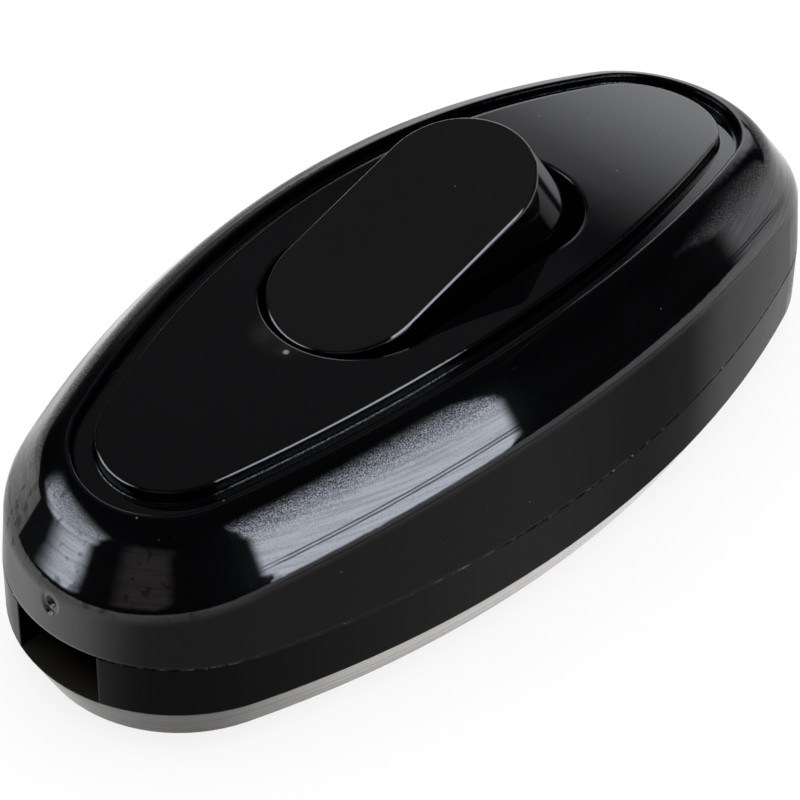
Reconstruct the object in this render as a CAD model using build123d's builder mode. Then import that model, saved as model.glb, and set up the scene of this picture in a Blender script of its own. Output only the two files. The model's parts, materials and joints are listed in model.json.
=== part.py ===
from build123d import *
from math import atan2, cos, degrees, hypot, radians, sin, sqrt, tan
import os

# Inline cord switch: an oval two-part housing with a rocker, a rocking contact bar and screw terminals.
# X runs along the cord, Z is up, the origin is under the middle of the housing. Millimetres.

# Housing outline from above
body_length = 70.0
body_width = 31.8
end_radius = 11.75
wall = 2.4

# Housing heights
bevel_height = 3.35
bevel_inset = 1.66
part_height = 7.45
top_height = 19.25
floor = 2.0
top_thickness = 2.2
seam_chamfer = 0.08

# Cover: arched top, sloping shoulder, rim, groove and raised plate
arch_radius = 156.0
cover_draft = 4.5
shoulder_drop = 4.15
shoulder_run = 3.1
lip_radius = 4.8
crease_radius = 2.2
rim_end_step = 0.87
rim_side_step = 1.02
rim_end_radius = 6.8
groove_end = 1.6
groove_side = 1.35
plate_end_radius = 5.5
groove_depth = 1.0
plate_edge = 0.2
rim_edge = 0.25
gate_height = 10.1
gate_half_width = 0.73
gate_half_height = 0.93
gate_depth = 0.1
gate_nub = 0.4
gate_nub_depth = 0.3

# Joint between cover and base
tongue_thickness = 1.0
tongue_height = 1.2
tongue_clearance = 0.1

# Cord slots, saddles and clamps
slot_width = 7.45
clamp_inset = 9.5
clamp_width = 4.2
clamp_thickness = 2.2
clamp_drop = 0.55
clamp_post_radius = 2.0
clamp_post_gap = 0.3
grip_height = 0.4
grip_pitch = 2.4
saddle_gap = 0.4

# Rocker
opening_length = 26.26
opening_side = 3.03
opening_edge = 0.2
face_length = 21.9
face_side = 0.84
face_height = 8.0
face_edge = 0.2
skirt_length = 26.0
skirt_side = 0.42
skirt_height = 1.0
skirt_drop = 2.5
rocker_cap = 1.8
rocker_wall = 1.3
rocker_tilt = 16.5
pivot_depth = 5.25
trunnion_radius = 1.5
trunnion_clearance = 0.05
ear_thickness = 1.4
ear_gap = 0.45
ear_width = 6.4
ear_drop = 2.8
hub_radius = 2.6
post_clearance = 0.15
stem_radius = 3.0
stem_depth = 4.2

# Plunger and spring in the stem
plunger_radius = 1.75
plunger_clearance = 0.1
plunger_top = 0.2
plunger_gap = 0.06
spring_wire = 0.4
spring_turns = 4
spring_room = 4.3
spring_clearance = 0.12
spring_seat = 0.02

# Rocking contact bar and its knife edge
blade_length = 20.0
blade_width = 4.0
blade_thickness = 1.2
blade_tilt = 6.0
blade_pivot = 5.6
knife_radius = 0.5
knife_clearance = 0.06
contact_x = 8.5
contact_radius = 1.4
contact_height = 0.6
contact_edge = 0.25
fixed_contact_radius = 1.5
contact_gap = 0.08
stop_x = 8.8
stop_length = 1.6

# Brass strips, rivets and terminals
strip_thickness = 0.6
strip_width = 2.0
strip_gap = 0.4
terminal_spacing = 7.7
terminal_length = 6.6
terminal_width = 4.4
terminal_height = 5.8
terminal_side = 1.6
wire_radius = 1.1
strip_margin = 0.2
rivet_radius = 0.7
rivet_clearance = 0.03
rivet_head_radius = 0.95
rivet_head = 0.4
rivet_depth = 1.2
rib_thickness = 1.0
rib_height = 3.5
rib_gap = 0.1

# Through connector for the unswitched core
neutral_length = 14.0
neutral_width = 3.6
neutral_height = 5.2
neutral_wall_gap = 0.5
neutral_screw_x = 4.0

# Screws: shank radius, head radius, head height
terminal_screw_radius = 1.2
terminal_head_radius = 2.0
terminal_head = 1.5
neutral_screw_radius = 1.0
neutral_head_radius = 1.6
neutral_head = 1.3
clamp_screw_radius = 0.9
clamp_head_radius = 1.8
clamp_head = 1.2
clamp_screw_length = 5.5
housing_screw_radius = 1.4
housing_head_radius = 2.1
housing_head = 1.6
housing_screw_length = 11.8
housing_head_recess = 0.6
screw_lift = 0.5
thread_clearance = 0.05
shank_clearance = 0.25
head_clearance = 0.25
drive_slot = 0.6
drive_depth = 0.7

# Screw bosses
boss_radius = 3.0
boss_wall_gap = 7.5
boss_inset = 1.3
boss_gap = 0.1
boss_embed = 1.0

# Places that follow from the sizes above
half_length = body_length / 2
half_width = body_width / 2
top_inset = (top_height - part_height) * tan(radians(cover_draft)) + shoulder_run
rim_length = body_length - 2 * (top_inset + rim_end_step)
rim_width = body_width - 2 * (top_inset + rim_side_step)
plate_length = rim_length - 2 * groove_end
plate_width = rim_width - 2 * groove_side
opening_width = plate_width - 2 * opening_side
face_width = opening_width - 2 * face_side
skirt_width = opening_width - 2 * skirt_side
pivot_height = top_height - pivot_depth
clamp_x = half_length - clamp_inset
clamp_seat = part_height - clamp_drop
clamp_y = slot_width / 2 + clamp_post_gap + clamp_post_radius
terminal_x = clamp_x - terminal_spacing
boss_x = terminal_x - boss_inset
boss_y = half_width - boss_wall_gap
boss_places = [(boss_x, boss_y), (-boss_x, -boss_y)]
clamp_places = [(sx * clamp_x, sy * clamp_y) for sx in (-1, 1) for sy in (-1, 1)]
strip_top = floor + strip_thickness
wire_height = (bevel_height + part_height) / 2
ear_inner = opening_width / 2 + ear_gap
ear_middle = ear_inner + ear_thickness / 2
ear_places = [(0, ear_middle), (0, -ear_middle)]
trunnion_reach = ear_inner + ear_thickness - trunnion_clearance
bearing_radius = trunnion_radius + trunnion_clearance
runner_y = blade_width / 2 + strip_gap + strip_width / 2
neutral_y = -(half_width - wall - neutral_wall_gap - neutral_width / 2)
neutral_top = floor + neutral_height
terminal_top = strip_top + terminal_height
head_seat = housing_head_recess + housing_head
blade_top = blade_pivot + blade_thickness
plunger_tip = pivot_height - blade_top - plunger_gap
tilt = radians(rocker_tilt)
rock = radians(blade_tilt)
closed_drop = (contact_x + contact_radius) * sin(rock) + contact_height * cos(rock)
fixed_contact_top = blade_pivot - closed_drop - contact_gap
fixed_contact_x = -(contact_x * cos(rock) - contact_height * sin(rock))
terminal_inner = terminal_x - terminal_length / 2
terminal_low = terminal_side - terminal_width / 2
terminal_high = terminal_side + terminal_width / 2
knife_half = knife_radius + strip_width / 2
common_rivets = [(terminal_inner - strip_width / 2, -runner_y), (knife_half + strip_width, -runner_y)]
fixed_rivets = [(-(terminal_inner - strip_width / 2), runner_y), (fixed_contact_x, runner_y)]
runner_edge = runner_y + strip_width / 2

# The rocker's own frame, leaning with its far end up, and the contact bar's, leaning the other way
rocker_plane = Plane(
    origin=(0, 0, pivot_height), x_dir=(cos(tilt), 0, sin(tilt)), z_dir=(-sin(tilt), 0, cos(tilt))
)
blade_plane = Plane(
    origin=(0, 0, blade_pivot), x_dir=(cos(rock), 0, -sin(rock)), z_dir=(sin(rock), 0, cos(rock))
)
blade_side = Plane(origin=(0, 0, blade_pivot), x_dir=(cos(rock), 0, -sin(rock)), z_dir=(0, -1, 0))
trunnion_plane = Plane(origin=(0, 0, pivot_height), x_dir=(1, 0, 0), z_dir=(0, -1, 0))


def arch_drop(x):
    """How far the arched top has fallen at a distance x from the middle."""
    return arch_radius - sqrt(arch_radius**2 - x**2)


def loop_edges(edges, length, width, lowest):
    """The edges of an oval loop of this length and width that lie above a height."""
    near = 0.05
    chosen = []
    for edge in edges:
        middle = edge @ 0.5
        on_end = abs(abs(middle.X) - length / 2) < near and abs(middle.Y) < near
        on_side = abs(abs(middle.Y) - width / 2) < near and abs(middle.X) < near
        if (on_end or on_side) and middle.Z > lowest:
            chosen.append(edge)
    return chosen


def crease_edges(edges):
    """The edges along the foot of the sloping shoulder."""
    near = 0.1 * shoulder_drop
    chosen = []
    for edge in edges:
        middle = edge @ 0.5
        foot = top_height - arch_drop(middle.X) - shoulder_drop
        if middle.Z < foot + near:
            chosen.append(edge)
    return chosen


class Oval(BaseSketchObject):
    """Four-arc oval: two end arcs joined smoothly by two flatter side arcs."""

    def __init__(self, length, width, radius, inset=0, mode=Mode.ADD):
        reach_x = length / 2 - inset
        reach_y = width / 2 - inset
        bend = radius - inset
        end_x = reach_x - bend
        side_y = reach_y - bend
        side_centre = (end_x**2 - side_y**2) / (2 * side_y)
        span = hypot(end_x, side_centre)
        join_x = end_x + bend * end_x / span
        join_y = bend * side_centre / span
        with BuildSketch() as outline:
            with BuildLine():
                ThreePointArc((join_x, -join_y), (reach_x, 0), (join_x, join_y))
                ThreePointArc((join_x, join_y), (0, reach_y), (-join_x, join_y))
                ThreePointArc((-join_x, join_y), (-reach_x, 0), (-join_x, -join_y))
                ThreePointArc((-join_x, -join_y), (0, -reach_y), (join_x, -join_y))
            make_face()
        super().__init__(outline.sketch, 0, None, mode)


class Arch(BaseSketchObject):
    """Side view of everything under the arched top, as high as crown in the middle."""

    def __init__(self, span, crown, mode=Mode.ADD):
        fall = arch_drop(span / 2)
        with BuildSketch() as outline:
            with BuildLine():
                top = ThreePointArc((-span / 2, crown - fall), (0, crown), (span / 2, crown - fall))
                Polyline(top @ 1, (span / 2, 0), (-span / 2, 0), top @ 0)
            make_face()
        super().__init__(outline.sketch, 0, None, mode)


# Hollow inside the cover
with BuildPart() as cover_core:
    with BuildSketch(Plane.XY.offset(part_height)):
        Oval(body_length, body_width, end_radius, inset=wall)
    extrude(amount=top_height, taper=cover_draft)
    with BuildSketch(Plane.XZ):
        Arch(body_length, top_height - top_thickness)
    extrude(amount=body_width, both=True, mode=Mode.INTERSECT)
    core_top = cover_core.faces().sort_by(Axis.Z)[-1]
    chamfer(core_top.outer_wire().edges(), shoulder_run, shoulder_drop, reference=core_top)

# Ring above the groove's floor, between the rim and the raised plate
with BuildPart() as groove_core:
    with BuildSketch(Plane.XY.offset(part_height)):
        Oval(rim_length, rim_width, rim_end_radius)
        Oval(plate_length, plate_width, plate_end_radius, mode=Mode.SUBTRACT)
    extrude(amount=top_height)
    with BuildSketch(Plane.XZ):
        Arch(body_length, top_height - groove_depth)
    extrude(amount=body_width, both=True, mode=Mode.SUBTRACT)

# Cover: arched top with a sloping shoulder, a rim, a groove and a raised plate
with BuildPart() as top_cover:
    with BuildSketch(Plane.XY.offset(part_height)):
        Oval(body_length, body_width, end_radius)
    extrude(amount=top_height, taper=cover_draft)
    with BuildSketch(Plane.XZ):
        Arch(body_length, top_height)
    extrude(amount=body_width, both=True, mode=Mode.INTERSECT)
    seam = top_cover.faces().sort_by(Axis.Z)[0].outer_wire().edges()
    chamfer(seam, seam_chamfer)
    arched_top = top_cover.faces().sort_by(Axis.Z)[-1]
    chamfer(arched_top.outer_wire().edges(), shoulder_run, shoulder_drop, reference=arched_top)
    fillet(crease_edges(top_cover.edges(Select.LAST)), crease_radius)
    arched_top = top_cover.faces().sort_by(Axis.Z)[-1]
    fillet(arched_top.outer_wire().edges(), lip_radius)
    add(groove_core.part, mode=Mode.SUBTRACT)
    groove_edges = top_cover.edges(Select.LAST)
    groove_middle = top_height - groove_depth / 2 - arch_drop(rim_length / 2)
    fillet(loop_edges(groove_edges, plate_length, plate_width, groove_middle), plate_edge)
    rim_edges = loop_edges(top_cover.edges(), rim_length, rim_width, groove_middle)
    fillet(rim_edges, rim_edge)
    # rocker opening
    with BuildSketch(Plane.XY.offset(part_height)):
        SlotOverall(opening_length, opening_width)
    extrude(amount=top_height, mode=Mode.SUBTRACT)
    opening_edges = top_cover.edges(Select.LAST)
    fillet(loop_edges(opening_edges, opening_length, opening_width, groove_middle), opening_edge)
    add(cover_core.part, mode=Mode.SUBTRACT)
    # rebate over the base's tongue
    with BuildSketch(Plane.XY.offset(part_height)):
        Oval(body_length, body_width, end_radius, inset=wall - tongue_thickness - tongue_clearance)
    extrude(amount=tongue_height + tongue_clearance, mode=Mode.SUBTRACT)
    # bearing ears for the rocker, open below
    with BuildSketch(Plane.XY.offset(pivot_height - ear_drop)):
        with Locations(*ear_places):
            Rectangle(ear_width, ear_thickness)
    extrude(amount=pivot_depth + ear_drop - top_thickness / 2)
    with BuildSketch(trunnion_plane):
        Circle(bearing_radius)
        with Locations((0, -ear_drop)):
            Rectangle(2 * bearing_radius, 2 * ear_drop)
    extrude(amount=trunnion_reach + ear_thickness, both=True, mode=Mode.SUBTRACT)
    # screw bosses
    with BuildSketch(Plane.XY.offset(part_height + boss_gap)):
        with Locations(*boss_places):
            Circle(boss_radius)
    boss_rise = top_height - arch_drop(boss_x + boss_radius) - shoulder_drop - part_height - boss_gap
    extrude(amount=boss_rise + boss_embed)
    with BuildSketch(Plane.XY.offset(part_height)):
        with Locations(*boss_places):
            Circle(housing_screw_radius + thread_clearance)
    extrude(amount=head_seat + housing_screw_length + boss_gap - part_height, mode=Mode.SUBTRACT)
    # mark left by the moulding gate on the near end
    with BuildSketch(Plane.YZ.offset(-half_length)):
        with Locations((0, gate_height)):
            Ellipse(gate_half_width, gate_half_height)
    gate_face = (gate_height - part_height) * tan(radians(cover_draft))
    extrude(amount=gate_face + gate_depth, mode=Mode.SUBTRACT)
    with BuildSketch(Plane.YZ.offset(-half_length)):
        with Locations((0, gate_height)):
            Circle(gate_nub)
    extrude(amount=gate_face + gate_nub_depth, mode=Mode.SUBTRACT)
top_cover.part.label = "top_cover"

# Base: bevelled foot, low wall with a cord slot at each end, pillars, posts and ribs inside
with BuildPart() as base_shell:
    with BuildSketch(Plane.XY):
        Oval(body_length, body_width, end_radius, inset=bevel_inset)
    extrude(amount=bevel_height, taper=-degrees(atan2(bevel_inset, bevel_height)))
    with BuildSketch(Plane.XY.offset(bevel_height)):
        Oval(body_length, body_width, end_radius)
    extrude(amount=part_height - bevel_height)
    chamfer(base_shell.faces().sort_by(Axis.Z)[-1].outer_wire().edges(), seam_chamfer)
    with BuildSketch(Plane.XY.offset(part_height)):
        Oval(body_length, body_width, end_radius, inset=wall - tongue_thickness)
    extrude(amount=tongue_height)
    with BuildSketch(Plane.XY.offset(floor)):
        Oval(body_length, body_width, end_radius, inset=wall)
    extrude(amount=top_height, mode=Mode.SUBTRACT)
    with BuildSketch(Plane.YZ):
        with Locations((0, bevel_height)):
            Rectangle(slot_width, top_height, align=(Align.CENTER, Align.MIN))
    extrude(amount=body_length, both=True, mode=Mode.SUBTRACT)
    # cord saddles with gripping ribs
    saddle_start = terminal_x + terminal_length / 2 + saddle_gap
    saddle_end = half_length - wall
    with BuildSketch(Plane.XY.offset(floor)):
        with Locations(((saddle_start + saddle_end) / 2, 0), (-(saddle_start + saddle_end) / 2, 0)):
            Rectangle(saddle_end - saddle_start, slot_width)
    extrude(amount=bevel_height - floor)
    grip_places = [(sx * (clamp_x + step * grip_pitch / 2), bevel_height) for sx in (-1, 1) for step in (-1, 1)]
    with BuildSketch(Plane.XZ):
        with Locations(*grip_places):
            Polygon((-grip_height, 0), (grip_height, 0), (0, grip_height), align=None)
    extrude(amount=slot_width / 2, both=True)
    # clamp posts
    with BuildSketch(Plane.XY.offset(floor)):
        with Locations(*clamp_places):
            Circle(clamp_post_radius)
    extrude(amount=clamp_seat - floor)
    with BuildSketch(Plane.XY.offset(clamp_seat)):
        with Locations(*clamp_places):
            Circle(clamp_screw_radius + thread_clearance)
    extrude(amount=clamp_thickness - clamp_screw_length, mode=Mode.SUBTRACT)
    # screw pillars with sunk heads underneath
    with BuildSketch(Plane.XY.offset(floor)):
        with Locations(*boss_places):
            Circle(boss_radius)
    extrude(amount=part_height - floor)
    with BuildSketch(Plane.XY):
        with Locations(*boss_places):
            Circle(housing_screw_radius + shank_clearance)
    extrude(amount=part_height, mode=Mode.SUBTRACT)
    with BuildSketch(Plane.XY):
        with Locations(*boss_places):
            Circle(housing_head_radius + head_clearance)
    extrude(amount=head_seat, mode=Mode.SUBTRACT)
    # posts that hold the rocker's trunnions up in their ears
    with BuildSketch(Plane.XY.offset(floor)):
        with Locations(*ear_places):
            Rectangle(2 * (bearing_radius - post_clearance), ear_thickness)
    extrude(amount=pivot_height - floor)
    with BuildSketch(trunnion_plane):
        Circle(bearing_radius)
    extrude(amount=trunnion_reach + ear_thickness, both=True, mode=Mode.SUBTRACT)
    # stop under the far end of the contact bar
    stop_top = blade_pivot - (stop_x + stop_length / 2) * sin(rock) - contact_gap
    with BuildSketch(Plane.XY.offset(floor)):
        with Locations((stop_x, 0)):
            Rectangle(stop_length, blade_width)
    extrude(amount=stop_top - floor)
    # ribs beside the terminal blocks
    rib_y = terminal_side - terminal_width / 2 - rib_gap - rib_thickness / 2
    with BuildSketch(Plane.XY.offset(strip_top)):
        with Locations((-terminal_x, rib_y)):
            Rectangle(terminal_length, rib_thickness)
    extrude(amount=rib_height)
    with BuildSketch(Plane.XY.offset(floor)):
        with Locations((-terminal_x, rib_y)):
            Rectangle(terminal_length, rib_thickness)
    extrude(amount=strip_thickness)
    # holes for the strips' rivets
    with BuildSketch(Plane.XY.offset(floor)):
        with Locations(*common_rivets, *fixed_rivets):
            Circle(rivet_radius + rivet_clearance)
    extrude(amount=-rivet_depth, mode=Mode.SUBTRACT)
base_shell.part.label = "base_shell"

# Rocker: hollow cap with a stem, two hubs and two trunnions, leaning with its far end up
with BuildPart() as rocker:
    with BuildSketch(rocker_plane.offset(face_height)):
        SlotOverall(face_length, face_width)
    with BuildSketch(rocker_plane.offset(skirt_height)):
        SlotOverall(skirt_length, skirt_width)
    loft()
    rocker_face = rocker.faces().sort_by(Axis((0, 0, 0), rocker_plane.z_dir))[-1]
    fillet(rocker_face.outer_wire().edges(), face_edge)
    with BuildSketch(rocker_plane.offset(skirt_height)):
        SlotOverall(skirt_length, skirt_width)
    extrude(amount=-skirt_drop)
    with BuildSketch(rocker_plane.offset(face_height - rocker_cap)):
        SlotOverall(face_length - 2 * rocker_wall, face_width - 2 * rocker_wall)
    with BuildSketch(rocker_plane.offset(skirt_height)):
        SlotOverall(skirt_length - 2 * rocker_wall, skirt_width - 2 * rocker_wall)
    loft(mode=Mode.SUBTRACT)
    with BuildSketch(rocker_plane.offset(skirt_height)):
        SlotOverall(skirt_length - 2 * rocker_wall, skirt_width - 2 * rocker_wall)
    extrude(amount=-skirt_drop, mode=Mode.SUBTRACT)
    with BuildSketch(rocker_plane.offset(-stem_depth)):
        Circle(stem_radius)
    extrude(amount=stem_depth + face_height - rocker_cap)
    with BuildSketch(trunnion_plane):
        Circle(hub_radius)
    extrude(amount=skirt_width / 2, both=True)
    with BuildSketch(trunnion_plane):
        Circle(trunnion_radius)
    extrude(amount=trunnion_reach, both=True)
    with BuildSketch(rocker_plane.offset(-stem_depth)):
        Circle(plunger_radius + plunger_clearance)
    extrude(amount=stem_depth + plunger_top + spring_room, mode=Mode.SUBTRACT)
rocker.part.label = "rocker"

# Plunger with a round nose that pushes the contact bar over
with BuildPart() as plunger:
    with BuildSketch(Plane(rocker_plane.origin, rocker_plane.x_dir, (0, -1, 0))):
        with BuildLine():
            Line((0, -plunger_tip), (0, plunger_top))
            Line((0, plunger_top), (plunger_radius, plunger_top))
            Line((plunger_radius, plunger_top), (plunger_radius, plunger_radius - plunger_tip))
            RadiusArc((plunger_radius, plunger_radius - plunger_tip), (0, -plunger_tip), plunger_radius)
        make_face()
    revolve(axis=Axis(rocker_plane.origin, rocker_plane.z_dir))
plunger.part.label = "plunger"

# Coil spring between the plunger and the end of the stem's bore
spring_radius = plunger_radius - spring_clearance - spring_wire / 2
spring_rise = spring_room - spring_wire - 2 * spring_seat
with BuildPart() as plunger_spring:
    with BuildLine(rocker_plane.offset(plunger_top + spring_seat + spring_wire / 2)):
        coil = Helix(
            pitch=spring_rise / spring_turns,
            height=spring_rise,
            radius=spring_radius,
            direction=rocker_plane.z_dir,
        )
    with BuildSketch(Plane(origin=coil @ 0, z_dir=coil % 0)):
        Circle(spring_wire / 2)
    sweep(is_frenet=True)
plunger_spring.part.label = "plunger_spring"

# Rocking contact bar with a groove that sits on the knife edge
with BuildPart() as contact_blade:
    with BuildSketch(blade_side):
        Rectangle(blade_length, blade_thickness, align=(Align.CENTER, Align.MIN))
        Circle(knife_radius + knife_clearance, mode=Mode.SUBTRACT)
    extrude(amount=blade_width / 2, both=True)
    bar_corners = contact_blade.edges().filter_by(Axis(blade_plane.origin, blade_plane.z_dir))
    fillet(bar_corners, blade_width / 4)
contact_blade.part.label = "contact_blade"

# Contact buttons: one under the bar, one on the fixed strip
with BuildPart() as moving_contact:
    with BuildSketch(blade_plane):
        with Locations((-contact_x, 0)):
            Circle(contact_radius)
    extrude(amount=-contact_height)
    button_face = moving_contact.faces().sort_by(Axis.Z)[0]
    fillet(button_face.edges(), contact_edge)
moving_contact.part.label = "moving_contact"

with BuildPart() as fixed_contact:
    with BuildSketch(Plane.XY.offset(strip_top)):
        with Locations((fixed_contact_x, 0)):
            Circle(fixed_contact_radius)
    extrude(amount=fixed_contact_top - strip_top)
    fillet(fixed_contact.faces().sort_by(Axis.Z)[-1].edges(), contact_edge)
fixed_contact.part.label = "fixed_contact"

# Strips: each runs from its terminal to the middle, past the bar, and is riveted down
with BuildPart() as common_strip:
    with BuildSketch(Plane.XY.offset(floor)):
        with BuildLine():
            Polyline(
                (-knife_half, -runner_edge),
                (terminal_x + terminal_length / 2, -runner_edge),
                (terminal_x + terminal_length / 2, terminal_high),
                (terminal_inner, terminal_high),
                (terminal_inner, -runner_edge + strip_width),
                (knife_half, -runner_edge + strip_width),
                (knife_half, blade_width / 2),
                (-knife_half, blade_width / 2),
                close=True,
            )
        make_face()
        with Locations(*common_rivets):
            Circle(rivet_radius + rivet_clearance, mode=Mode.SUBTRACT)
    extrude(amount=strip_thickness)
    with BuildSketch(Plane.XZ):
        with Locations((0, strip_top)):
            Rectangle(2 * knife_radius, blade_pivot - strip_top, align=(Align.CENTER, Align.MIN))
        with Locations((0, blade_pivot)):
            Circle(knife_radius)
    extrude(amount=blade_width / 2, both=True)
common_strip.part.label = "common_strip"

contact_pad = fixed_contact_radius + strip_margin
with BuildPart() as fixed_strip:
    with BuildSketch(Plane.XY.offset(floor)):
        with BuildLine():
            Polyline(
                (-(terminal_x + terminal_length / 2), terminal_low),
                (-terminal_inner, terminal_low),
                (-terminal_inner, runner_edge - strip_width),
                (fixed_contact_x - contact_pad, runner_edge - strip_width),
                (fixed_contact_x - contact_pad, -contact_pad),
                (fixed_contact_x + contact_pad, -contact_pad),
                (fixed_contact_x + contact_pad, runner_edge),
                (-(terminal_x + terminal_length / 2), runner_edge),
                close=True,
            )
        make_face()
        with Locations(*fixed_rivets):
            Circle(rivet_radius + rivet_clearance, mode=Mode.SUBTRACT)
    extrude(amount=strip_thickness)
fixed_strip.part.label = "fixed_strip"

# Rivets through the strips into the base
with BuildPart() as strip_rivets:
    with BuildSketch(Plane.XY.offset(strip_top)):
        with Locations(*common_rivets, *fixed_rivets):
            Circle(rivet_head_radius)
    extrude(amount=rivet_head)
    with BuildSketch(Plane.XY.offset(strip_top)):
        with Locations(*common_rivets, *fixed_rivets):
            Circle(rivet_radius)
    extrude(amount=-(strip_thickness + rivet_depth))
strip_rivets.part.label = "strip_rivets"

# Terminal blocks on the strips, each with a wire bore along X and a screw from above
with BuildPart() as common_terminal:
    with BuildSketch(Plane.XY.offset(strip_top)):
        with Locations((terminal_x, terminal_side)):
            Rectangle(terminal_length, terminal_width)
    extrude(amount=terminal_height)
    with BuildSketch(Plane.YZ.offset(terminal_x)):
        with Locations((terminal_side, wire_height)):
            Circle(wire_radius)
    extrude(amount=terminal_length, both=True, mode=Mode.SUBTRACT)
    with BuildSketch(Plane.XY.offset(terminal_top)):
        with Locations((terminal_x, terminal_side)):
            Circle(terminal_screw_radius + thread_clearance)
    extrude(amount=wire_height - terminal_top, mode=Mode.SUBTRACT)
common_terminal.part.label = "common_terminal"

with BuildPart() as switched_terminal:
    add(common_terminal.part)
    mirror(about=Plane.YZ, mode=Mode.REPLACE)
switched_terminal.part.label = "switched_terminal"

with BuildPart() as terminal_screws:
    with BuildSketch(Plane.XY.offset(wire_height + wire_radius)):
        with Locations((terminal_x, terminal_side), (-terminal_x, terminal_side)):
            Circle(terminal_screw_radius)
    extrude(amount=terminal_top + screw_lift - wire_height - wire_radius)
    with BuildSketch(Plane.XY.offset(terminal_top + screw_lift)):
        with Locations((terminal_x, terminal_side), (-terminal_x, terminal_side)):
            Circle(terminal_head_radius)
    extrude(amount=terminal_head)
    with BuildSketch(Plane.XY.offset(terminal_top + screw_lift + terminal_head)):
        with Locations((terminal_x, terminal_side), (-terminal_x, terminal_side)):
            Rectangle(2 * terminal_head_radius, drive_slot)
    extrude(amount=-drive_depth, mode=Mode.SUBTRACT)
terminal_screws.part.label = "terminal_screws"

# Through connector along the side for the core that isn't switched
neutral_wire_height = floor + neutral_height / 2
neutral_places = [(neutral_screw_x, neutral_y), (-neutral_screw_x, neutral_y)]
with BuildPart() as neutral_connector:
    with BuildSketch(Plane.XY.offset(floor)):
        with Locations((0, neutral_y)):
            Rectangle(neutral_length, neutral_width)
    extrude(amount=neutral_height)
    with BuildSketch(Plane.YZ):
        with Locations((neutral_y, neutral_wire_height)):
            Circle(wire_radius)
    extrude(amount=neutral_length, both=True, mode=Mode.SUBTRACT)
    with BuildSketch(Plane.XY.offset(neutral_top)):
        with Locations(*neutral_places):
            Circle(neutral_screw_radius + thread_clearance)
    extrude(amount=neutral_wire_height - neutral_top, mode=Mode.SUBTRACT)
neutral_connector.part.label = "neutral_connector"

with BuildPart() as neutral_screws:
    with BuildSketch(Plane.XY.offset(neutral_wire_height + wire_radius)):
        with Locations(*neutral_places):
            Circle(neutral_screw_radius)
    extrude(amount=neutral_top + screw_lift - neutral_wire_height - wire_radius)
    with BuildSketch(Plane.XY.offset(neutral_top + screw_lift)):
        with Locations(*neutral_places):
            Circle(neutral_head_radius)
    extrude(amount=neutral_head)
    with BuildSketch(Plane.XY.offset(neutral_top + screw_lift + neutral_head)):
        with Locations(*neutral_places):
            Rectangle(2 * neutral_head_radius, drive_slot)
    extrude(amount=-drive_depth, mode=Mode.SUBTRACT)
neutral_screws.part.label = "neutral_screws"

# Cord clamps: a bar over the cord at each end, with a gripping rib underneath
with BuildPart() as cord_clamp_far:
    with BuildSketch(Plane.XY.offset(clamp_seat)):
        with Locations((clamp_x, 0)):
            SlotCenterToCenter(2 * clamp_y, clamp_width, rotation=90)
    extrude(amount=clamp_thickness)
    with BuildSketch(Plane.XZ):
        with Locations((clamp_x, clamp_seat)):
            Polygon((-grip_height, 0), (grip_height, 0), (0, -grip_height), align=None)
    extrude(amount=slot_width / 2, both=True)
    with BuildSketch(Plane.XY.offset(clamp_seat)):
        with Locations((clamp_x, clamp_y), (clamp_x, -clamp_y)):
            Circle(clamp_screw_radius + shank_clearance)
    extrude(amount=clamp_thickness, mode=Mode.SUBTRACT)
cord_clamp_far.part.label = "cord_clamp_far"

with BuildPart() as cord_clamp_near:
    add(cord_clamp_far.part)
    mirror(about=Plane.YZ, mode=Mode.REPLACE)
cord_clamp_near.part.label = "cord_clamp_near"

with BuildPart() as clamp_screws:
    with BuildSketch(Plane.XY.offset(clamp_seat + clamp_thickness)):
        with Locations(*clamp_places):
            Circle(clamp_head_radius)
    extrude(amount=clamp_head)
    with BuildSketch(Plane.XY.offset(clamp_seat + clamp_thickness)):
        with Locations(*clamp_places):
            Circle(clamp_screw_radius)
    extrude(amount=-clamp_screw_length)
    with BuildSketch(Plane.XY.offset(clamp_seat + clamp_thickness + clamp_head)):
        with Locations(*clamp_places):
            Rectangle(2 * clamp_head_radius, drive_slot)
    extrude(amount=-drive_depth, mode=Mode.SUBTRACT)
clamp_screws.part.label = "clamp_screws"

# Housing screws from below, sunk into the foot
with BuildPart() as housing_screws:
    with BuildSketch(Plane.XY.offset(housing_head_recess)):
        with Locations(*boss_places):
            Circle(housing_head_radius)
    extrude(amount=housing_head)
    with BuildSketch(Plane.XY.offset(head_seat)):
        with Locations(*boss_places):
            Circle(housing_screw_radius)
    extrude(amount=housing_screw_length)
    with BuildSketch(Plane.XY.offset(housing_head_recess)):
        with Locations(*boss_places):
            Rectangle(housing_head_radius + drive_slot, drive_slot)
            Rectangle(drive_slot, housing_head_radius + drive_slot)
    extrude(amount=drive_depth, mode=Mode.SUBTRACT)
housing_screws.part.label = "housing_screws"

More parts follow.
